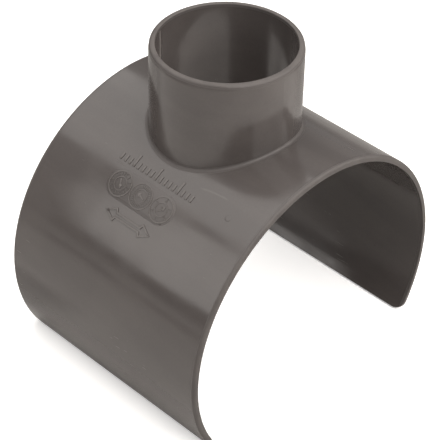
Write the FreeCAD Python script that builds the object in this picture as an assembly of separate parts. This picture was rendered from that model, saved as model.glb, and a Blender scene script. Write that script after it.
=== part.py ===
import FreeCAD, Part

import math
import os

# A tapping saddle, moulded in one piece: a thin shell that snaps over a drain pipe,
# with an upright branch tube on its crown.
# Lengths are in millimetres and angles in degrees.
# The origin is where the pipe's axis crosses the branch's axis.
# +X runs along the pipe and +Z runs up the branch.

# The two pipes that the saddle joins
PIPE_DIAMETER = 110.0
BRANCH_DIAMETER = 50.0

# The shell: its wall, its length along the pipe, how far it wraps down each side from the crown,
# and the roundings of its corners and of its outer outline
SHELL_WALL = 2.0
SADDLE_LENGTH = 88.0
HALF_WRAP_ANGLE = 122.0
FOOT_CORNER_RADIUS = 4.0
OUTLINE_ROUND = 1.0

# The branch tube: its wall, its rim's height over the crown, the hollow curve at its foot,
# and the slightly tapered root below the length that a socket can reach
BRANCH_WALL = 2.1
BRANCH_RISE = 28.3
JOINT_FILLET = 0.8
ROOT_HEIGHT = 1.5
ROOT_DRAFT_ANGLE = 1.5

# The rim: a slight taper that leads a socket on, and the roundings of its two edges
LEAD_IN_HEIGHT = 2.0
LEAD_IN_DEPTH = 0.35
RIM_OUTER_ROUND = 0.9
RIM_INNER_ROUND = 0.3

# The rounded edge where the branch opens into the pipe's seat
MOUTH_ROUND = 0.5

# How closely a point has to lie on a face to be counted as on it
ON_FACE = 0.001

# No rounding takes more than this share of the wall that it is cut from
WALL_SHARE = 0.7

ALONG_PIPE = FreeCAD.Vector(1, 0, 0)
UP = FreeCAD.Vector(0, 0, 1)
ORIGIN = FreeCAD.Vector(0, 0, 0)

SEAT_RADIUS = PIPE_DIAMETER / 2
SHELL_RADIUS = SEAT_RADIUS + SHELL_WALL
SPIGOT_RADIUS = BRANCH_DIAMETER / 2
BORE_RADIUS = SPIGOT_RADIUS - BRANCH_WALL
RIM_HEIGHT = SHELL_RADIUS + BRANCH_RISE
HALF_LENGTH = SADDLE_LENGTH / 2


def shell_point(radius, angle):
    """A point of the shell's section, at an angle from the crown towards +Y."""
    turn = math.radians(angle)
    return FreeCAD.Vector(-HALF_LENGTH, radius * math.sin(turn), radius * math.cos(turn))


def shell_arc(radius):
    """The section's arc from one foot over the crown to the other."""
    foot, crown, other_foot = [shell_point(radius, angle) for angle in (-HALF_WRAP_ANGLE, 0, HALF_WRAP_ANGLE)]
    return Part.Arc(foot, crown, other_foot).toShape()


def foot_line(angle):
    """The section's short side, square to the shell at a foot."""
    return Part.LineSegment(shell_point(SEAT_RADIUS, angle), shell_point(SHELL_RADIUS, angle)).toShape()


def off_pipe_axis(point):
    return math.hypot(point.y, point.z)


def off_branch_axis(point):
    return math.hypot(point.x, point.y)


def samples(edge):
    """Both ends of an edge and its middle."""
    first, last = edge.ParameterRange
    return [edge.valueAt(value) for value in (first, (first + last) / 2, last)]


def edges_that(shape, fits):
    """The edges whose ends and middle all fit."""
    return [edge for edge in shape.Edges if all(fits(point) for point in samples(edge))]


def near(value, target):
    return abs(value - target) < ON_FACE


def on_bore(point):
    return near(off_branch_axis(point), BORE_RADIUS)


def make_shell():
    """The bent sheet, with rounded foot corners and a rounded outer outline."""
    feet = [foot_line(-HALF_WRAP_ANGLE), foot_line(HALF_WRAP_ANGLE)]
    section = Part.Wire([feet[0], shell_arc(SHELL_RADIUS), feet[1], shell_arc(SEAT_RADIUS)])
    sheet = Part.Face(section).extrude(ALONG_PIPE * SADDLE_LENGTH)

    def is_corner(edge):
        at_end = all(near(abs(point.x), HALF_LENGTH) for point in samples(edge))
        return at_end and isinstance(edge.Curve, Part.Line)

    sheet = sheet.makeFillet(FOOT_CORNER_RADIUS, [edge for edge in sheet.Edges if is_corner(edge)])
    outline = edges_that(sheet, lambda point: near(off_pipe_axis(point), SHELL_RADIUS))
    return sheet.makeFillet(min(OUTLINE_ROUND, SHELL_WALL * WALL_SHARE), outline)


def make_branch():
    """The branch as a solid post, turned from its outline, that ends inside the shell's wall."""
    root_top = SHELL_RADIUS + ROOT_HEIGHT
    root_radius = SPIGOT_RADIUS + root_top * math.tan(math.radians(ROOT_DRAFT_ANGLE))
    outline = Part.makePolygon([
        ORIGIN,
        FreeCAD.Vector(root_radius, 0, 0),
        FreeCAD.Vector(SPIGOT_RADIUS, 0, root_top),
        FreeCAD.Vector(SPIGOT_RADIUS, 0, RIM_HEIGHT - LEAD_IN_HEIGHT),
        FreeCAD.Vector(SPIGOT_RADIUS - LEAD_IN_DEPTH, 0, RIM_HEIGHT),
        FreeCAD.Vector(0, 0, RIM_HEIGHT),
        ORIGIN,
    ])
    post = Part.Face(outline).revolve(ORIGIN, UP, 360)
    mid_wall = SEAT_RADIUS + SHELL_WALL / 2
    below = Part.makeCylinder(mid_wall, SADDLE_LENGTH, ALONG_PIPE * -HALF_LENGTH, ALONG_PIPE)
    return post.cut(below)


def round_joint(body):
    """The hollow curve all round the branch's foot, where it meets the shell."""

    def on_joint(point):
        beside_branch = off_branch_axis(point) < SPIGOT_RADIUS + SHELL_WALL
        return near(off_pipe_axis(point), SHELL_RADIUS) and beside_branch

    return body.makeFillet(JOINT_FILLET, edges_that(body, on_joint))


def round_rim(body):
    """The roundings of the rim's two edges, which leave a narrow flat land between them."""
    land = BRANCH_WALL - LEAD_IN_DEPTH
    share = min(1, land * WALL_SHARE / (RIM_OUTER_ROUND + RIM_INNER_ROUND))
    outer_edge = edges_that(body, lambda point: near(point.z, RIM_HEIGHT) and not on_bore(point))
    body = body.makeFillet(RIM_OUTER_ROUND * share, outer_edge)
    inner_edge = edges_that(body, lambda point: near(point.z, RIM_HEIGHT) and on_bore(point))
    return body.makeFillet(RIM_INNER_ROUND * share, inner_edge)


def open_bore(body):
    """The way through the branch into the pipe, with its rim and its mouth rounded."""
    bore = Part.makeCylinder(BORE_RADIUS, RIM_HEIGHT, ORIGIN, UP)
    body = round_rim(body.cut(bore))

    def on_mouth(point):
        return near(off_pipe_axis(point), SEAT_RADIUS) and on_bore(point)

    return body.makeFillet(min(MOUTH_ROUND, SHELL_WALL * WALL_SHARE), edges_that(body, on_mouth))


def make_saddle():
    body = make_shell().fuse(make_branch()).removeSplitter()
    return open_bore(round_joint(body))


def main():
    os.makedirs("parts", exist_ok=True)
    saddle = make_saddle()
    if saddle.ShapeType != "Solid":
        saddle = saddle.Solids[0]
    saddle.exportStep("parts/saddle.step")
    box = saddle.optimalBoundingBox(True, False)
    print("saddle valid", saddle.isValid(), "volume cm3", round(saddle.Volume / 1000, 2))
    print("size mm", round(box.XLength, 2), round(box.YLength, 2), round(box.ZLength, 2))
    print("lowest and highest mm", round(box.ZMin, 2), round(box.ZMax, 2))


main()
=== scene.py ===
import math

import bpy
from mathutils import Matrix, Vector


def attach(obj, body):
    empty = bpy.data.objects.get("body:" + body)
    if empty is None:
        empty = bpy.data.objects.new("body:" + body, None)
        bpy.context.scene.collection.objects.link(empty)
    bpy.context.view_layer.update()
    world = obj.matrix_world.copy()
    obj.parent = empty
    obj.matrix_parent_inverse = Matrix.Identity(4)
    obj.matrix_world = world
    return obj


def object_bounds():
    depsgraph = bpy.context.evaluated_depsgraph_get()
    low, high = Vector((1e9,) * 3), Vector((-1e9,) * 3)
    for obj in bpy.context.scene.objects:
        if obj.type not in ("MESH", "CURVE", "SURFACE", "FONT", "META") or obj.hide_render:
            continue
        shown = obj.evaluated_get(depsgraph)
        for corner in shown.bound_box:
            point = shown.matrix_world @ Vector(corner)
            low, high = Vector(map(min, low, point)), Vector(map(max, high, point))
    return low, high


# The looks of a tapping saddle: one moulded shell of dark grey pipe plastic with a branch tube on its crown.
# Lengths are in metres and angles in degrees. The pipe runs along X and the branch stands up along Z.
# A place on the shell is its X and its angle from the crown, which is negative towards -Y.

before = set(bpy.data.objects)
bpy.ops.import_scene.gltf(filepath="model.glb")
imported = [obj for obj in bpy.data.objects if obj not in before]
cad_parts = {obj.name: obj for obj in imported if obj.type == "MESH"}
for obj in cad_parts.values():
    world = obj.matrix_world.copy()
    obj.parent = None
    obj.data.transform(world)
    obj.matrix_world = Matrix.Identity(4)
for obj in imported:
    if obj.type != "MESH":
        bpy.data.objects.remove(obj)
CAD_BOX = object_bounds()
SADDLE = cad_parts["saddle"]
HALF_LENGTH = CAD_BOX[1].x
SHELL_RADIUS = CAD_BOX[1].y
RIM_HEIGHT = CAD_BOX[1].z
FLOOR_HEIGHT = CAD_BOX[0].z
BRANCH_RADIUS = 0.025

# The camera: where it stands round the part, how far it is turned about its own view, and what it looks at
CAMERA_AZIMUTH = 44.13
CAMERA_ELEVATION = 38.71
CAMERA_ROLL = 1.263
CAMERA_DISTANCE = 0.59575
CAMERA_AIM = Vector((0.00332, -0.00485, 0.01778))
LENS = 144.51
SENSOR = 36.0

# The floor: its colour to the eye, the glow that thins its shadows there, and the duller colour that it
# throws back at the part
FLOOR_SIZE = 5.0
FLOOR_ROUGHNESS = 0.8
FLOOR_COLOUR = (0.95, 0.95, 0.95, 1)
FLOOR_GLOW = 0.32
FLOOR_BOUNCE = (0.66, 0.64, 0.62, 1)
NO_GLOW = (0, 0, 0, 1)

# Zones of painted shade and painted light, where the floor throws back less, or more. The first, painted
# shade, lies behind the part, towards an azimuth
FLOOR_BEHIND_SHADE = (0.29, 0.28, 0.27, 1)
BEHIND_AZIMUTH = 134
BEHIND_START = 0.03
BEHIND_END = 0.12

# A strip of painted shade across the floor on the part's -Y side, and painted light on all that lies past it
FLOOR_SHADE_STRIP = (0.34, 0.33, 0.32, 1)
FLOOR_FAR_LIGHT = (0.92, 0.90, 0.88, 1)
STRIP_NEAR = -0.25
STRIP_FAR = -0.45
STRIP_BLEND = 0.04

# A round patch of painted shade under the arch
FLOOR_UNDER_SHADE = (0.42, 0.405, 0.39, 1)
UNDER_START = 0.060
UNDER_END = 0.035

# A patch of painted shade past the shell's +X end, out to a distance from the middle
FLOOR_NEAR_END_SHADE = (0.34, 0.33, 0.32, 1)
NEAR_END_START = 0.05
NEAR_END_FULL = 0.09
NEAR_END_FADE = 0.132
NEAR_END_END = 0.146

# A patch of painted shadow beside the -Y foot, towards the -X end
FLOOR_CORNER_SHADOW = (0.38, 0.37, 0.36, 1)
CORNER_START = -0.026
CORNER_END = -0.052
CORNER_FAR = -0.044
CORNER_NEAR = -0.088
CORNER_BLEND = 0.014

# The room: even light from all round, stronger overhead and towards one side, its own look to the eye,
# and the tint of the lamps in it
ROOM_COLOUR = (1.0, 0.975, 0.95, 1)
ROOM_LOW = 0.17
ROOM_HIGH = 0.55
ROOM_SEEN = 0.95
ROOM_RISE_START = 0.25
ROOM_RISE_END = 0.65
BRIGHT_SIDE = 70
BRIGHT_SIDE_LOW = 0.38
BRIGHT_SIDE_START = 0.47
BRIGHT_SIDE_END = 0.66
LAMP_TINT = (1.0, 0.965, 0.93)

# The broad lamp overhead
OVERHEAD_PLACE = Vector((-0.20, -0.003, 0.70))
OVERHEAD_WIDTH = 1.3
OVERHEAD_DEPTH = 0.926
OVERHEAD_RADIANCE = 1.83

# The eight-sided soft box low at the side, and where three of its corners are moved to
SIDE_PLACE = Vector((-0.0989, -0.2473, 0.1612))
SIDE_AZIMUTH = 240
SIDE_ELEVATION = 20
SIDE_CORNERS = 8
SIDE_HALF_WIDTH = 0.085
SIDE_HALF_HEIGHT = 0.105
SIDE_CORNERS_MOVED = (
    ((1.0, -0.41), (0.94, -0.25)),
    ((0.41, -1.0), (0.66, -1.05)),
    ((-0.41, -1.0), (-0.41, -0.97)),
)
SIDE_RADIANCE = 2.50

# The square lamps in front and behind, which look at the part
LAMP_AIM = Vector((0, 0, 0.05))
FRONT_AZIMUTH = 3
FRONT_ELEVATION = 42
FRONT_DISTANCE = 0.8
FRONT_SIZE = 0.5
FRONT_RADIANCE = 5.6
REAR_AZIMUTH = 46
REAR_ELEVATION = 28
REAR_DISTANCE = 0.9
REAR_SIZE = 0.52
REAR_RADIANCE = 3.6

# The small far card, seen under the soft box, that puts a light band inside the far foot
CARD_PLACE = Vector((-0.566, -0.899, 0.196))
CARD_AZIMUTH = 239.4
CARD_CORNERS = 4
CARD_HALF_WIDTH = 0.048
CARD_HALF_HEIGHT = 0.060
CARD_RADIANCE = 4.0

# The plastic: its two close shades, and the paler tone of what gets rubbed and how strongly it shows
PLASTIC_DARK = (0.060, 0.0525, 0.0500, 1)
PLASTIC_LIGHT = (0.073, 0.0640, 0.0605, 1)
RUBBED_COLOUR = (0.105, 0.095, 0.088, 1)
RUB_STRENGTH = 0.40
SCRATCH_STRENGTH = 0.10

# Its gloss, and how much duller it is where it is smudged, scratched, rubbed or edged
PLASTIC_ROUGHNESS = 0.145
SMUDGE_ROUGHNESS = 0.07
SCRATCH_ROUGHNESS = 0.16
RUBBED_ROUGHNESS = 0.10
EDGE_ROUGHNESS = 0.42

# The two shades: clouds, streaks along the flow and fine grain, each with its share in the blend between them
CLOUD_SIZE = 0.034
CLOUD_DETAIL = 3.0
CLOUD_SHARE = 0.5
STREAK_LENGTH = 0.10
STREAK_WIDTH = 0.007
STREAK_TURN = (0, 8, 3)
STREAK_SHARE = 0.35
GRAIN_SIZE = 0.0007
GRAIN_DETAIL = 1.0
GRAIN_SHARE = 0.15
SHADES_START = 0.36
SHADES_END = 0.64

# The relief of the skin: its gentle waves, longer along the pipe, and its grain
WAVE_SIZE = 0.022
WAVE_STRETCH = 1.6
WAVE_DETAIL = 0.5
WAVE_HEIGHT = 0.00006
GRAIN_HEIGHT = 0.0000015

# The smudges, and the fine scratches, which show in patches and end this far outside the shell's outer face
SMUDGE_SIZE = 0.016
SMUDGE_DETAIL = 3.0
SMUDGE_START = 0.40
SMUDGE_END = 0.66
SCRATCH_LENGTH = 0.028
SCRATCH_WIDTH = 0.0009
SCRATCH_DEPTH = 0.000002
SCRATCH_DETAIL = 2.0
SCRATCH_TURNS = ((4, 2, 3), (10, -3, -6))
SCRATCH_START = 0.70
SCRATCH_END = 0.76
SCRATCH_PATCH_TURN = (40, 20, 0)
SCRATCH_PATCH_START = 0.46
SCRATCH_PATCH_END = 0.60
SCRATCH_REACH = 0.001

# The scattered dark flecks, the share of each that is fully dark, and how few of the places have one
FLECK_SPACING = 0.0085
FLECK_RADIUS = 0.00038
FLECK_CORE = 0.5
FLECK_RARE_START = 0.70
FLECK_RARE_END = 0.90
FLECK_COLOUR = (0.036, 0.031, 0.029, 1)
FLECK_STRENGTH = 0.45

# How deep the rub reaches at the edges, and the noise that breaks it up
RUB_DEPTH = 0.0009
RUB_PATCH_SIZE = 0.006
RUB_PATCH_DETAIL = 3.0
RUB_PATCH_START = 0.35
RUB_PATCH_END = 0.65

# How deep the matt edges reach, and the width of the matt hollow at the branch's foot
EDGE_DEPTH = 0.0014
JOINT_WIDTH = 0.0010

# How proud a fine line on the skin stands
LINE_HEIGHT = 0.000015

# The faint line where two streams of plastic met, a flat arc on the shell beside the branch
FLOW_CENTRE = Vector((0.0289, -0.0903, 0))
FLOW_RADIUS = 0.0647
FLOW_HALF_WIDTH = 0.00048
FLOW_START = 0.0150
FLOW_START_BLEND = 0.003
FLOW_END = 0.0275
FLOW_END_BLEND = 0.002
FLOW_LOW = 0.040
FLOW_LOW_FULL = 0.045
FLOW_STRENGTH = 0.45

# The fine pale line that the mould's core dragged down the bore, and how far out from the branch's axis
# it lies
DRAG_AZIMUTH = 204
DRAG_HALF_WIDTH = 0.00055
DRAG_INNER = 0.0222
DRAG_OUTER = 0.0236
DRAG_TOP = 0.0840
DRAG_BLEND = 0.0005
DRAG_COLOUR = (0.25, 0.235, 0.22, 1)
DRAG_STRENGTH = 0.8

# The raised mould marks on the shell's -Y side: how proud they stand and how deep they root, their rounded
# edges, how far off the shell they are laid out before they are wrapped on it, and the share of their height
# from which they get rubbed
MARK_PROUD = 0.00024
MARK_SUNK = 0.00015
MARK_EDGE = 0.00011
MARK_EDGE_CUTS = 2
MARK_EDGE_ANGLE = 50
MARK_SMOOTH_ANGLE = 35
MARK_CLEAR = 0.001
MARK_RUB_START = 0.6

# The line-up scale: ticks every two millimetres, some of them long
SCALE_ANGLE = -31.7
SCALE_STEP = 0.002
SCALE_STEPS = 8
SCALE_LONG_EVERY = 5
SCALE_STROKE = 0.0009
SCALE_LONG = 0.0048
SCALE_SHORT = 0.0026

# The three date dials: how far each one's pointer is turned, and their two rings, the inner one with a stroke
# that is a share of the outer one's
DIAL_ANGLE = -40.9
DIAL_PLACES = (-0.0102, -0.0007, 0.0088)
DIAL_TURNS = (205, 75, -40)
DIAL_RADIUS = 0.0046
DIAL_INNER_RADIUS = 0.0025
DIAL_STROKE = 0.00045
DIAL_INNER_STROKE = 0.7
RING_CORNERS = 48

# The pointer: its half width at each place from its tail to its tip
POINTER_SECTIONS = ((-0.0017, 0.00028), (0.0003, 0.00028), (0.0005, 0.00090), (0.0017, 0.00006))

# What stands between a dial's rings: numbers, or plain ticks for the days
MONTHS = 12
MONTH_NUMBER_SIZE = 0.0016
SHIFTS = 6
SHIFT_NUMBER_SIZE = 0.0020
NUMBER_CURVE_STEPS = 3
DAYS = 31
DAY_TICK_STROKE = 0.00032
DAY_TICK_LENGTH = 0.0010
DAY_TICK_GAP = 0.0003

# The matt plate with round ends under the dials, cut across so that it can follow the shell
PLATE_PLACE = -0.0007
PLATE_HALF_LENGTH = 0.0148
PLATE_RADIUS = 0.0052
PLATE_CORNERS = 46
PLATE_CUTS = 9
PLATE_PROUD = 0.00010
PLATE_ROUGHNESS = 0.40

# The outlined arrow with two heads
ARROW_ANGLE = -50.2
ARROW_HALF_LENGTH = 0.0100
ARROW_HALF_TIP = 0.0001
ARROW_HEAD_LENGTH = 0.0042
ARROW_HALF_HEAD = 0.0025
ARROW_SHOULDER = 0.0006
ARROW_HALF_SHAFT = 0.0011
ARROW_STROKE = 0.00065
ARROW_CUTS = 2

# The small round pip of the mould's gate
PIP_PLACE = 0.0312
PIP_ANGLE = -31.8
PIP_RADIUS = 0.0011
PIP_CORNERS = 24
PIP_INSET = 0.5
PIP_PROUD = 0.00007

# How often a straight stroke is cut across, and how close two corners of a flat shape have to be to count as
# one corner, or as level with each other
STROKE_CUTS = 3
SAME_CORNER = 0.00001
SAME_LEVEL = 1e-7

# The parts of a place that count when a distance is measured across the pipe, or on the level
ACROSS_PIPE = (0, 1, 1)
ON_THE_LEVEL = (1, 1, 0)
QUARTER_TURN = 90


def direction(azimuth, elevation):
    """A unit vector: azimuth turns from +X towards +Y, elevation is above the level."""
    turn = math.radians(azimuth)
    rise = math.radians(elevation)
    return Vector((math.cos(turn) * math.cos(rise), math.sin(turn) * math.cos(rise), math.sin(rise)))


def deselect():
    bpy.ops.object.select_all(action="DESELECT")


def flat_disc(corners, radius):
    """A flat face with the given number of corners, round the origin."""
    deselect()
    bpy.ops.mesh.primitive_circle_add(vertices=corners, radius=radius, fill_type="NGON")
    return bpy.context.object


# Short ways to lay nodes

def add_node(tree, kind, values=None, **settings):
    """A new node with its settings and the values of its own sockets."""
    node = tree.nodes.new("ShaderNode" + kind)
    for name, setting in settings.items():
        setattr(node, name, setting)
    for socket, value in (values or {}).items():
        node.inputs[socket].default_value = value
    return node


def feed(tree, source, socket):
    """Gives a socket what another socket puts out, or a plain value."""
    if isinstance(source, bpy.types.NodeSocket):
        tree.links.new(source, socket)
    else:
        socket.default_value = source


def ramp(tree, value, low, high, bottom=0.0, top=1.0):
    """Goes smoothly from bottom to top while the value goes from low to high."""
    limits = {"From Min": low, "From Max": high, "To Min": bottom, "To Max": top}
    node = add_node(tree, "MapRange", limits, interpolation_type="SMOOTHSTEP")
    tree.links.new(value, node.inputs["Value"])
    return node.outputs["Result"]


def math_node(tree, operation, *sources):
    node = add_node(tree, "Math", operation=operation)
    for number, source in enumerate(sources):
        feed(tree, source, node.inputs[number])
    return node.outputs["Value"]


def combined(tree, operation, first, *others):
    """One value out of several, by multiplying them or taking the largest."""
    result = first
    for other in others:
        result = math_node(tree, operation, result, other)
    return result


def total(tree, *terms):
    """Adds up values, each times its own factor."""
    result = 0.0
    for value, factor in terms:
        result = math_node(tree, "MULTIPLY_ADD", value, factor, result)
    return result


def mix(tree, kind, factor, first, second):
    node = add_node(tree, "Mix", data_type=kind)
    for name, source in (("Factor", factor), ("A", first), ("B", second)):
        feed(tree, source, node.inputs[name])
    return node.outputs["Result"]


def mix_colours(tree, factor, first, second):
    return mix(tree, "RGBA", factor, first, second)


def mix_values(tree, factor, first, second):
    return mix(tree, "FLOAT", factor, first, second)


def parts_of(tree, place):
    """The three parts of a place: along the pipe, across it and up."""
    node = add_node(tree, "SeparateXYZ")
    tree.links.new(place, node.inputs["Vector"])
    return node.outputs["X"], node.outputs["Y"], node.outputs["Z"]


def towards(tree, place, azimuth):
    """How far a place lies towards an azimuth."""
    node = add_node(tree, "VectorMath", {1: direction(azimuth, 0)}, operation="DOT_PRODUCT")
    tree.links.new(place, node.inputs[0])
    return node.outputs["Value"]


def distance(tree, place, parts, centre=(0, 0, 0)):
    """How far a place lies from a centre, by only some of its parts."""
    kept = add_node(tree, "VectorMath", {1: parts}, operation="MULTIPLY")
    tree.links.new(place, kept.inputs[0])
    reach = add_node(tree, "VectorMath", {1: centre}, operation="DISTANCE")
    tree.links.new(kept.outputs["Vector"], reach.inputs[0])
    return reach.outputs["Value"]


def noise(tree, place, size, detail, turn=(0, 0, 0)):
    """Soft noise whose blotches have the given length, width and height, turned by the given angles."""
    laid = add_node(tree, "Mapping", vector_type="TEXTURE")
    laid.inputs["Rotation"].default_value = [math.radians(angle) for angle in turn]
    laid.inputs["Scale"].default_value = size
    tree.links.new(place, laid.inputs["Vector"])
    node = add_node(tree, "TexNoise", {"Scale": 1.0, "Detail": detail})
    tree.links.new(laid.outputs["Vector"], node.inputs["Vector"])
    return node.outputs[0]


def new_group(name, inputs, outputs):
    """An empty node group, with its own named sockets."""
    group = bpy.data.node_groups.new(name, "ShaderNodeTree")
    for socket, kind in inputs.items():
        group.interface.new_socket(socket, in_out="INPUT", socket_type="NodeSocket" + kind)
    for socket, kind in outputs.items():
        group.interface.new_socket(socket, in_out="OUTPUT", socket_type="NodeSocket" + kind)
    return group, group.nodes.new("NodeGroupInput").outputs, group.nodes.new("NodeGroupOutput").inputs


def use_group(tree, group, **sources):
    node = add_node(tree, "Group", node_tree=group)
    for name, source in sources.items():
        feed(tree, source, node.inputs[name])
    return node.outputs


def new_material(name):
    material = bpy.data.materials.new(name)
    material.use_nodes = True
    return material, material.node_tree


# Camera, lamps and floor

def make_camera():
    turn = math.radians(CAMERA_AZIMUTH)
    rise = math.radians(CAMERA_ELEVATION)
    back = Vector((math.sin(turn) * math.cos(rise), -math.cos(turn) * math.cos(rise), math.sin(rise)))
    right = Vector((math.cos(turn), math.sin(turn), 0))
    axes = Matrix((right, back.cross(right), back)).transposed()
    roll = Matrix.Rotation(math.radians(CAMERA_ROLL), 3, "Z")
    camera = bpy.data.objects.new("camera", bpy.data.cameras.new("camera"))
    camera.data.lens = LENS
    camera.data.sensor_width = SENSOR
    camera.matrix_world = Matrix.Translation(CAMERA_AIM + back * CAMERA_DISTANCE) @ (axes @ roll).to_4x4()
    bpy.context.scene.collection.objects.link(camera)
    bpy.context.scene.camera = camera


def make_panel(name, middle, aim, width, height, radiance):
    """A soft rectangular lamp. Its power follows from its size, so that its face always looks as bright."""
    lamp = bpy.data.lights.new(name, "AREA")
    lamp.shape = "RECTANGLE"
    lamp.size = width
    lamp.size_y = height
    lamp.energy = radiance * math.pi * width * height
    lamp.color = LAMP_TINT
    panel = bpy.data.objects.new(name, lamp)
    turn = (aim - middle).to_track_quat("-Z", "Y").to_matrix().to_4x4()
    panel.matrix_world = Matrix.Translation(middle) @ turn
    bpy.context.scene.collection.objects.link(panel)


def make_glowing_face(name, corners, place, facing, half_width, half_height, radiance, moved=()):
    """A flat glowing face with the given number of corners, some moved, that looks back along its facing."""
    half_step = math.pi / corners
    face = flat_disc(corners, 1 / math.cos(half_step))
    face.name = name
    face.data.transform(Matrix.Rotation(half_step, 4, "Z"))
    for old, new in moved:
        corner = min(face.data.vertices, key=lambda each: (each.co.xy - Vector(old)).length)
        corner.co.xy = new
    turn = (-facing).to_track_quat("Z", "Y").to_matrix().to_4x4()
    face.data.transform(Matrix.Translation(place) @ turn @ Matrix.Diagonal((half_width, half_height, 1, 1)))
    material, tree = new_material(name + "_glow")
    tree.nodes.remove(tree.nodes["Principled BSDF"])
    glow = add_node(tree, "Emission", {"Color": (*LAMP_TINT, 1), "Strength": radiance})
    tree.links.new(glow.outputs["Emission"], tree.nodes["Material Output"].inputs["Surface"])
    face.data.materials.append(material)
    face.visible_camera = False
    return face


def make_room():
    """The even light all round: dim at the floor's edge, brighter overhead, and pale to the eye."""
    world = bpy.data.worlds.new("studio")
    bpy.context.scene.world = world
    world.use_nodes = True
    tree = world.node_tree
    backdrop = tree.nodes["Background"]
    backdrop.inputs["Color"].default_value = ROOM_COLOUR
    way = add_node(tree, "TexCoord").outputs["Generated"]
    height = parts_of(tree, way)[2]
    to_side = towards(tree, way, BRIGHT_SIDE)
    low = ramp(tree, to_side, BRIGHT_SIDE_START, BRIGHT_SIDE_END, ROOM_LOW, BRIGHT_SIDE_LOW)
    rise = ramp(tree, height, ROOM_RISE_START, ROOM_RISE_END)
    seen = add_node(tree, "LightPath").outputs["Is Camera Ray"]
    light = mix_values(tree, seen, mix_values(tree, rise, low, ROOM_HIGH), ROOM_SEEN)
    tree.links.new(light, backdrop.inputs["Strength"])


def make_studio():
    make_room()
    bpy.context.scene.view_settings.view_transform = "Standard"
    below = Vector((OVERHEAD_PLACE.x, OVERHEAD_PLACE.y, 0))
    make_panel("overhead_lamp", OVERHEAD_PLACE, below, OVERHEAD_WIDTH, OVERHEAD_DEPTH, OVERHEAD_RADIANCE)
    front = direction(FRONT_AZIMUTH, FRONT_ELEVATION) * FRONT_DISTANCE
    make_panel("front_lamp", front, LAMP_AIM, FRONT_SIZE, FRONT_SIZE, FRONT_RADIANCE)
    rear = direction(REAR_AZIMUTH, REAR_ELEVATION) * REAR_DISTANCE
    make_panel("rear_lamp", rear, LAMP_AIM, REAR_SIZE, REAR_SIZE, REAR_RADIANCE)
    side = direction(SIDE_AZIMUTH, SIDE_ELEVATION)
    make_glowing_face("side_box", SIDE_CORNERS, SIDE_PLACE, side, SIDE_HALF_WIDTH, SIDE_HALF_HEIGHT,
                      SIDE_RADIANCE, SIDE_CORNERS_MOVED)
    away = direction(CARD_AZIMUTH, 0)
    card = make_glowing_face("far_card", CARD_CORNERS, CARD_PLACE, away, CARD_HALF_WIDTH, CARD_HALF_HEIGHT,
                             CARD_RADIANCE)
    card.visible_diffuse = False
    card.visible_shadow = False


def floor_bounce(tree, place):
    """The colour that the floor throws back, zone by zone, with its painted shade and painted light."""
    x, y, _ = parts_of(tree, place)
    reach = distance(tree, place, ON_THE_LEVEL)
    behind = ramp(tree, towards(tree, place, BEHIND_AZIMUTH), BEHIND_START, BEHIND_END)
    strip = ramp(tree, y, STRIP_NEAR, STRIP_NEAR - STRIP_BLEND)
    past_strip = ramp(tree, y, STRIP_FAR + STRIP_BLEND, STRIP_FAR)
    under = ramp(tree, reach, UNDER_START, UNDER_END)
    near_end = combined(
        tree, "MULTIPLY",
        ramp(tree, x, NEAR_END_START, NEAR_END_FULL),
        ramp(tree, reach, NEAR_END_END, NEAR_END_FADE))
    corner = combined(
        tree, "MULTIPLY",
        ramp(tree, y, CORNER_FAR, CORNER_FAR - CORNER_BLEND),
        ramp(tree, y, CORNER_NEAR, CORNER_NEAR + CORNER_BLEND),
        ramp(tree, x, CORNER_START, CORNER_END))
    zones = (
        (FLOOR_BEHIND_SHADE, behind), (FLOOR_SHADE_STRIP, strip), (FLOOR_FAR_LIGHT, past_strip),
        (FLOOR_UNDER_SHADE, under), (FLOOR_NEAR_END_SHADE, near_end), (FLOOR_CORNER_SHADOW, corner),
    )
    bounce = FLOOR_BOUNCE
    for colour, zone in zones:
        bounce = mix_colours(tree, zone, bounce, colour)
    return bounce


def make_floor():
    deselect()
    bpy.ops.mesh.primitive_plane_add(size=FLOOR_SIZE, location=(0, 0, FLOOR_HEIGHT))
    floor = bpy.context.object
    floor.name = "floor"
    material, tree = new_material("pale_floor")
    shader = tree.nodes["Principled BSDF"]
    shader.inputs["Roughness"].default_value = FLOOR_ROUGHNESS
    shader.inputs["Emission Strength"].default_value = FLOOR_GLOW
    bounce = floor_bounce(tree, add_node(tree, "TexCoord").outputs["Object"])
    seen = add_node(tree, "LightPath").outputs["Is Camera Ray"]
    tree.links.new(mix_colours(tree, seen, bounce, FLOOR_COLOUR), shader.inputs["Base Color"])
    tree.links.new(mix_colours(tree, seen, NO_GLOW, FLOOR_COLOUR), shader.inputs["Emission Color"])
    floor.data.materials.append(material)


# The plastic's skin

def make_colour_group():
    """The two shades of the plastic, clouded and drawn out along the pipe, the way it flowed in the mould."""
    group, given, made = new_group(
        "moulded_colour", {"Place": "Vector", "Dark": "Color", "Light": "Color"}, {"Colour": "Color"})
    cloud = noise(group, given["Place"], (CLOUD_SIZE,) * 3, CLOUD_DETAIL)
    streak_size = (STREAK_LENGTH, STREAK_WIDTH, STREAK_WIDTH)
    streak = noise(group, given["Place"], streak_size, CLOUD_DETAIL, STREAK_TURN)
    grain = noise(group, given["Place"], (GRAIN_SIZE,) * 3, GRAIN_DETAIL)
    blotches = total(group, (cloud, CLOUD_SHARE), (streak, STREAK_SHARE), (grain, GRAIN_SHARE))
    blend = ramp(group, blotches, SHADES_START, SHADES_END)
    feed(group, mix_colours(group, blend, given["Dark"], given["Light"]), made["Colour"])
    return group


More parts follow.
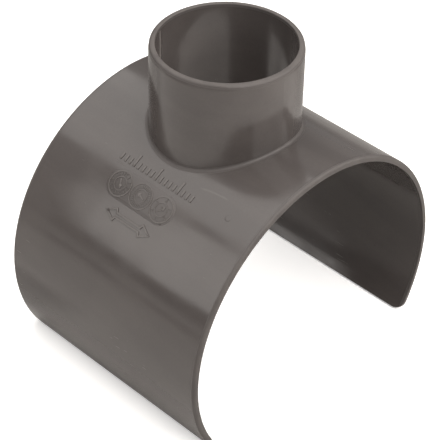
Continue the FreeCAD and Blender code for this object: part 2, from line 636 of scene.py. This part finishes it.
def lay_scratches(group, place):
    """Fine scratches along the pipe, in patches, on the shell and not on the branch."""
    size = (SCRATCH_LENGTH, SCRATCH_WIDTH, SCRATCH_WIDTH)
    first, second = [
        ramp(group, noise(group, place, size, SCRATCH_DETAIL, turn), SCRATCH_START, SCRATCH_END)
        for turn in SCRATCH_TURNS]
    cloud = noise(group, place, (CLOUD_SIZE,) * 3, SCRATCH_DETAIL, SCRATCH_PATCH_TURN)
    patches = ramp(group, cloud, SCRATCH_PATCH_START, SCRATCH_PATCH_END)
    off_axis = distance(group, place, ACROSS_PIPE)
    on_shell = ramp(group, off_axis, SHELL_RADIUS + SCRATCH_REACH, SHELL_RADIUS + SCRATCH_REACH / 2)
    return combined(group, "MULTIPLY", math_node(group, "MAXIMUM", first, second), patches, on_shell)


def lay_flecks(group, place):
    """Small dark dots, at a few of the places where one could be."""
    cells = add_node(group, "TexVoronoi", {"Scale": 1 / FLECK_SPACING})
    group.links.new(place, cells.inputs["Vector"])
    reach = FLECK_RADIUS / FLECK_SPACING
    dots = ramp(group, cells.outputs["Distance"], reach, reach * FLECK_CORE)
    draw = add_node(group, "SeparateColor")
    group.links.new(cells.outputs["Color"], draw.inputs["Color"])
    chosen = ramp(group, draw.outputs["Red"], FLECK_RARE_START, FLECK_RARE_END)
    return math_node(group, "MULTIPLY", dots, chosen)


def make_handling_group():
    """What handling leaves on the skin: smudges, a few fine scratches and scattered dark flecks."""
    group, given, made = new_group(
        "handling", {"Place": "Vector"}, {"Smudges": "Float", "Scratches": "Float", "Flecks": "Float"})
    smudge = noise(group, given["Place"], (SMUDGE_SIZE,) * 3, SMUDGE_DETAIL)
    feed(group, ramp(group, smudge, SMUDGE_START, SMUDGE_END), made["Smudges"])
    feed(group, lay_scratches(group, given["Place"]), made["Scratches"])
    feed(group, lay_flecks(group, given["Place"]), made["Flecks"])
    return group


def make_relief_group():
    """The height of the skin: the shell's gentle unevenness, its fine grain and its scratches."""
    group, given, made = new_group(
        "skin_relief", {"Place": "Vector", "Scratches": "Float"}, {"Height": "Float"})
    wave = noise(group, given["Place"], (WAVE_SIZE * WAVE_STRETCH, WAVE_SIZE, WAVE_SIZE), WAVE_DETAIL)
    grain = noise(group, given["Place"], (GRAIN_SIZE,) * 3, GRAIN_DETAIL)
    height = total(group, (wave, WAVE_HEIGHT), (grain, GRAIN_HEIGHT), (given["Scratches"], -SCRATCH_DEPTH))
    feed(group, height, made["Height"])
    return group


def shell_edges(tree, place):
    """Where the shell's ends, its feet and the branch's rim get rubbed, broken up by noise."""
    x, _, z = parts_of(tree, place)
    ends = ramp(tree, math_node(tree, "ABSOLUTE", x), HALF_LENGTH - RUB_DEPTH, HALF_LENGTH)
    rim = ramp(tree, z, RIM_HEIGHT - RUB_DEPTH, RIM_HEIGHT)
    feet = ramp(tree, z, FLOOR_HEIGHT + RUB_DEPTH * 2, FLOOR_HEIGHT)
    worn = noise(tree, place, (RUB_PATCH_SIZE,) * 3, RUB_PATCH_DETAIL)
    patches = ramp(tree, worn, RUB_PATCH_START, RUB_PATCH_END)
    return math_node(tree, "MULTIPLY", combined(tree, "MAXIMUM", ends, rim, feet), patches)


def mark_tops(tree, place):
    """The tops of the raised marks, where they get rubbed."""
    off_axis = distance(tree, place, ACROSS_PIPE)
    return ramp(tree, off_axis, SHELL_RADIUS + MARK_PROUD * MARK_RUB_START, SHELL_RADIUS + MARK_PROUD)


def matt_edges(tree, place):
    """The edges that the mould left duller: the shell's ends, the branch's rim and the hollow at its foot."""
    x, _, z = parts_of(tree, place)
    ends = ramp(tree, math_node(tree, "ABSOLUTE", x), HALF_LENGTH - EDGE_DEPTH, HALF_LENGTH - EDGE_DEPTH / 2)
    rim = ramp(tree, z, RIM_HEIGHT - EDGE_DEPTH, RIM_HEIGHT - EDGE_DEPTH / 2)
    off_branch = distance(tree, place, ON_THE_LEVEL)
    off_joint = math_node(tree, "SUBTRACT", off_branch, BRANCH_RADIUS + JOINT_WIDTH / 2)
    beside = ramp(tree, math_node(tree, "ABSOLUTE", off_joint), JOINT_WIDTH, JOINT_WIDTH / 2)
    off_axis = distance(tree, place, ACROSS_PIPE)
    above = ramp(tree, off_axis, SHELL_RADIUS + JOINT_WIDTH, SHELL_RADIUS + JOINT_WIDTH / 2)
    return combined(tree, "MAXIMUM", ends, rim, math_node(tree, "MULTIPLY", beside, above))


def drag_line(tree, place):
    """The fine line down the inside of the branch."""
    off_line = math_node(tree, "ABSOLUTE", towards(tree, place, DRAG_AZIMUTH + QUARTER_TURN))
    out = towards(tree, place, DRAG_AZIMUTH)
    _, _, z = parts_of(tree, place)
    return combined(
        tree, "MULTIPLY",
        ramp(tree, off_line, DRAG_HALF_WIDTH, 0.0),
        ramp(tree, out, DRAG_INNER, DRAG_INNER + DRAG_BLEND),
        ramp(tree, out, DRAG_OUTER, DRAG_OUTER - DRAG_BLEND),
        ramp(tree, z, DRAG_TOP, DRAG_TOP - DRAG_BLEND))


def flow_line(tree, place):
    """The faint arc beside the branch where two streams of plastic met."""
    off_arc = math_node(tree, "SUBTRACT", distance(tree, place, ON_THE_LEVEL, FLOW_CENTRE), FLOW_RADIUS)
    x, _, z = parts_of(tree, place)
    return combined(
        tree, "MULTIPLY",
        ramp(tree, math_node(tree, "ABSOLUTE", off_arc), FLOW_HALF_WIDTH, 0.0),
        ramp(tree, x, FLOW_START, FLOW_START + FLOW_START_BLEND),
        ramp(tree, x, FLOW_END, FLOW_END - FLOW_END_BLEND),
        ramp(tree, z, FLOW_LOW, FLOW_LOW_FULL))


def make_plastic(name, groups, rubbed, lines=(), gloss=PLASTIC_ROUGHNESS):
    """Dark grey pipe plastic. What gets rubbed, the fine lines and the gloss differ from piece to piece."""
    material, tree = new_material(name)
    shader = tree.nodes["Principled BSDF"]
    place = add_node(tree, "TexCoord").outputs["Object"]
    colour_group, handling_group, relief_group = groups
    colour = use_group(tree, colour_group, Place=place, Dark=PLASTIC_DARK, Light=PLASTIC_LIGHT)["Colour"]
    handling = use_group(tree, handling_group, Place=place)
    smudges, scratches, flecks = [handling[mask] for mask in ("Smudges", "Scratches", "Flecks")]
    rub = rubbed(tree, place)
    dark = math_node(tree, "MULTIPLY", flecks, FLECK_STRENGTH)
    colour = mix_colours(tree, dark, colour, FLECK_COLOUR)
    pale = total(tree, (rub, RUB_STRENGTH), (scratches, SCRATCH_STRENGTH))
    colour = mix_colours(tree, pale, colour, RUBBED_COLOUR)
    relief = use_group(tree, relief_group, Place=place, Scratches=scratches)["Height"]
    for line_at, tone, strength in lines:
        line = line_at(tree, place)
        colour = mix_colours(tree, math_node(tree, "MULTIPLY", line, strength), colour, tone)
        relief = math_node(tree, "MULTIPLY_ADD", line, LINE_HEIGHT, relief)
    tree.links.new(colour, shader.inputs["Base Color"])
    duller = total(
        tree, (smudges, SMUDGE_ROUGHNESS), (scratches, SCRATCH_ROUGHNESS), (rub, RUBBED_ROUGHNESS),
        (matt_edges(tree, place), EDGE_ROUGHNESS))
    tree.links.new(math_node(tree, "ADD", gloss, duller), shader.inputs["Roughness"])
    bump = add_node(tree, "Bump", {"Strength": 1.0, "Distance": 1.0})
    tree.links.new(relief, bump.inputs["Height"])
    tree.links.new(bump.outputs["Normal"], shader.inputs["Normal"])
    return material


# The raised mould marks: each is laid out flat, wrapped on the shell and given its thickness

def pick(piece):
    deselect()
    piece.select_set(True)
    bpy.context.view_layer.objects.active = piece


def copied(piece, change):
    """A copy with its own mesh, changed by a matrix."""
    twin = piece.copy()
    twin.data = piece.data.copy()
    twin.data.transform(change)
    bpy.context.scene.collection.objects.link(twin)
    return twin


def joined(pieces, name):
    pick(pieces[0])
    for piece in pieces:
        piece.select_set(True)
    bpy.ops.object.join()
    pieces[0].name = name
    return pieces[0]


def flat_bar(width, height):
    """A flat stroke with its foot on the level line, cut across so that it can follow the shell."""
    deselect()
    bpy.ops.mesh.primitive_plane_add(size=1)
    bpy.ops.object.mode_set(mode="EDIT")
    bpy.ops.transform.resize(value=(width, height, 1))
    bpy.ops.transform.translate(value=(0, height / 2, 0))
    bpy.ops.mesh.subdivide(number_cuts=STROKE_CUTS)
    bpy.ops.object.mode_set(mode="OBJECT")
    return bpy.context.object


def flat_ring(radius, stroke):
    ring = flat_disc(RING_CORNERS, radius)
    bpy.ops.object.mode_set(mode="EDIT")
    bpy.ops.mesh.inset(thickness=stroke)
    bpy.ops.mesh.delete(type="FACE")
    bpy.ops.object.mode_set(mode="OBJECT")
    return ring


def flat_number(number, size):
    """A plain number, its middle at the origin."""
    deselect()
    bpy.ops.object.text_add()
    text = bpy.context.object
    text.data.body = str(number)
    text.data.size = size
    text.data.align_x = "CENTER"
    text.data.align_y = "CENTER"
    text.data.resolution_u = NUMBER_CURVE_STEPS
    bpy.ops.object.convert(target="MESH")
    bpy.ops.object.mode_set(mode="EDIT")
    bpy.ops.mesh.select_all(action="SELECT")
    bpy.ops.mesh.remove_doubles(threshold=SAME_CORNER)
    bpy.ops.object.mode_set(mode="OBJECT")
    return bpy.context.object


def flat_strip(sections):
    """A flat shape along Y, drawn out of its first edge from one half width to the next."""
    deselect()
    bpy.ops.mesh.primitive_plane_add(size=1)
    strip = bpy.context.object
    (first, half), (second, next_half) = sections[:2]
    for corner in strip.data.vertices:
        far = corner.co.y > 0
        corner.co.x = math.copysign(next_half if far else half, corner.co.x)
        corner.co.y = second if far else first
    bpy.ops.object.mode_set(mode="EDIT")
    for (before, old_half), (after, new_half) in zip(sections[1:], sections[2:]):
        bpy.ops.mesh.select_all(action="DESELECT")
        bpy.ops.object.mode_set(mode="OBJECT")
        for corner in strip.data.vertices:
            corner.select = abs(corner.co.y - before) < SAME_LEVEL
        bpy.ops.object.mode_set(mode="EDIT")
        bpy.ops.mesh.select_mode(type="EDGE")
        bpy.ops.mesh.extrude_edges_move(TRANSFORM_OT_translate={"value": (0, after - before, 0)})
        bpy.ops.transform.resize(value=(new_half / old_half, 1, 1), center_override=(0, after, 0))
        bpy.ops.mesh.select_mode(type="VERT")
    bpy.ops.object.mode_set(mode="OBJECT")
    return strip


def flat_outline(shape, stroke):
    """Keeps only a stroke round the edge of a flat shape."""
    pick(shape)
    bpy.ops.object.mode_set(mode="EDIT")
    bpy.ops.mesh.select_mode(type="FACE")
    bpy.ops.mesh.select_all(action="SELECT")
    bpy.ops.mesh.inset(thickness=stroke)
    bpy.ops.mesh.delete(type="FACE")
    bpy.ops.mesh.select_all(action="SELECT")
    bpy.ops.mesh.subdivide(number_cuts=ARROW_CUTS)
    bpy.ops.object.mode_set(mode="OBJECT")
    return shape


def raise_on_shell(piece, along, angle, plastic, proud=MARK_PROUD):
    """Wraps a flat shape on the shell, thickens it and rounds its edges."""
    turn = math.radians(angle)
    outward = Vector((0, math.sin(turn), math.cos(turn)))
    upward = Vector((0, math.cos(turn), -math.sin(turn)))
    axes = Matrix((Vector((1, 0, 0)), upward, outward)).transposed().to_4x4()
    middle = outward * (SHELL_RADIUS + MARK_CLEAR) + Vector((along, 0, 0))
    piece.data.transform(Matrix.Translation(middle) @ axes)
    pick(piece)
    wrap = piece.modifiers.new("wrap", "SHRINKWRAP")
    wrap.wrap_method = "NEAREST_SURFACEPOINT"
    wrap.target = SADDLE
    thick = piece.modifiers.new("thick", "SOLIDIFY")
    thick.thickness = proud + MARK_SUNK
    thick.offset = (proud - MARK_SUNK) / (proud + MARK_SUNK)
    edge = piece.modifiers.new("edge", "BEVEL")
    edge.width = MARK_EDGE
    edge.segments = MARK_EDGE_CUTS
    edge.limit_method = "ANGLE"
    edge.angle_limit = math.radians(MARK_EDGE_ANGLE)
    for modifier in ("wrap", "thick", "edge"):
        bpy.ops.object.modifier_apply(modifier=modifier)
    bpy.ops.object.shade_smooth_by_angle(angle=math.radians(MARK_SMOOTH_ANGLE))
    piece.data.materials.clear()
    piece.data.materials.append(plastic)
    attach(piece, "root")


def make_line_up_scale(plastic):
    """Ticks that help to line the branch up with the pipe's hole."""
    long_tick = flat_bar(SCALE_STROKE, SCALE_LONG)
    short_tick = flat_bar(SCALE_STROKE, SCALE_SHORT)
    ticks = []
    for step in range(-SCALE_STEPS, SCALE_STEPS + 1):
        model = long_tick if step % SCALE_LONG_EVERY == 0 else short_tick
        ticks.append(copied(model, Matrix.Translation((step * SCALE_STEP, -SCALE_LONG / 2, 0))))
    for model in (long_tick, short_tick):
        bpy.data.objects.remove(model)
    raise_on_shell(joined(ticks, "line_up_scale"), 0, SCALE_ANGLE, plastic)


def make_dial_plate(plastic):
    """The low matt plate with round ends that the three dials stand on."""
    plate = flat_disc(PLATE_CORNERS, PLATE_RADIUS)
    plate.name = "dial_plate"
    for corner in plate.data.vertices:
        corner.co.x += math.copysign(PLATE_HALF_LENGTH - PLATE_RADIUS, corner.co.x)
    bpy.ops.object.mode_set(mode="EDIT")
    for step in range(-PLATE_CUTS, PLATE_CUTS + 1):
        bpy.ops.mesh.select_all(action="SELECT")
        level = step * PLATE_RADIUS / (PLATE_CUTS + 1)
        bpy.ops.mesh.bisect(plane_co=(0, level, 0), plane_no=(0, 1, 0))
    bpy.ops.object.mode_set(mode="OBJECT")
    raise_on_shell(plate, PLATE_PLACE, DIAL_ANGLE, plastic, PLATE_PROUD)


def round_the_dial(step, count, radius):
    """Takes a flat shape from the dial's middle to one of the places round it, and turns it to match."""
    return Matrix.Rotation(-math.tau * step / count, 4, "Z") @ Matrix.Translation((0, radius, 0))


def dial_numbers(count, size):
    middle = (DIAL_RADIUS - DIAL_STROKE + DIAL_INNER_RADIUS) / 2
    numbers = []
    for step in range(1, count + 1):
        number = flat_number(step, size)
        number.data.transform(round_the_dial(step, count, middle))
        numbers.append(number)
    return numbers


def dial_ticks(count):
    tick = flat_bar(DAY_TICK_STROKE, DAY_TICK_LENGTH)
    foot = DIAL_INNER_RADIUS + DAY_TICK_GAP
    ticks = [copied(tick, round_the_dial(step, count, foot)) for step in range(count)]
    bpy.data.objects.remove(tick)
    return ticks


def make_dial(name, place, turn, figures, plastic):
    """A round moulding-date stamp: two rings, figures between them and a pointer in the middle."""
    pointer = flat_strip(POINTER_SECTIONS)
    pointer.data.transform(Matrix.Rotation(math.radians(turn), 4, "Z"))
    outer_ring = flat_ring(DIAL_RADIUS, DIAL_STROKE)
    inner_ring = flat_ring(DIAL_INNER_RADIUS, DIAL_STROKE * DIAL_INNER_STROKE)
    raise_on_shell(joined([pointer, outer_ring, inner_ring, *figures], name), place, DIAL_ANGLE, plastic)


def make_dials(plastic):
    """The month dial, the day dial and the shift dial, in a row along the pipe."""
    month_place, day_place, shift_place = DIAL_PLACES
    month_turn, day_turn, shift_turn = DIAL_TURNS
    months = dial_numbers(MONTHS, MONTH_NUMBER_SIZE)
    make_dial("month_dial", month_place, month_turn, months, plastic)
    make_dial("day_dial", day_place, day_turn, dial_ticks(DAYS), plastic)
    shifts = dial_numbers(SHIFTS, SHIFT_NUMBER_SIZE)
    make_dial("shift_dial", shift_place, shift_turn, shifts, plastic)


def make_pipe_arrow(plastic):
    """The outlined arrow with two heads that shows which way the pipe runs."""
    neck = ARROW_HALF_LENGTH - ARROW_HEAD_LENGTH
    halves = (
        (-ARROW_HALF_LENGTH, ARROW_HALF_TIP),
        (-neck, ARROW_HALF_HEAD),
        (-neck + ARROW_SHOULDER, ARROW_HALF_SHAFT),
    )
    arrow = flat_strip(halves + tuple((-place, half) for place, half in reversed(halves)))
    arrow.data.transform(Matrix.Rotation(math.radians(QUARTER_TURN), 4, "Z"))
    arrow = flat_outline(arrow, ARROW_STROKE)
    arrow.name = "pipe_arrow"
    raise_on_shell(arrow, 0, ARROW_ANGLE, plastic)


def make_pip(plastic):
    """The small round pip that the mould's gate leaves."""
    pip = flat_disc(PIP_CORNERS, PIP_RADIUS)
    pip.name = "moulding_pip"
    bpy.ops.object.mode_set(mode="EDIT")
    bpy.ops.mesh.inset(thickness=PIP_RADIUS * PIP_INSET)
    bpy.ops.object.mode_set(mode="OBJECT")
    raise_on_shell(pip, PIP_PLACE, PIP_ANGLE, plastic, PIP_PROUD)


def dress_saddle():
    """Gives the saddle and its raised marks their plastics."""
    groups = (make_colour_group(), make_handling_group(), make_relief_group())
    lines = ((flow_line, RUBBED_COLOUR, FLOW_STRENGTH), (drag_line, DRAG_COLOUR, DRAG_STRENGTH))
    shell_plastic = make_plastic("dark_grey_pipe_plastic", groups, shell_edges, lines)
    for place in SADDLE.material_slots:
        place.material = shell_plastic
    matt_plastic = make_plastic("matt_plate_plastic", groups, mark_tops, gloss=PLATE_ROUGHNESS)
    mark_plastic = make_plastic("raised_mark_plastic", groups, mark_tops)
    make_line_up_scale(mark_plastic)
    make_dial_plate(matt_plastic)
    make_dials(mark_plastic)
    make_pipe_arrow(mark_plastic)
    make_pip(mark_plastic)


make_camera()
make_studio()
make_floor()
dress_saddle()
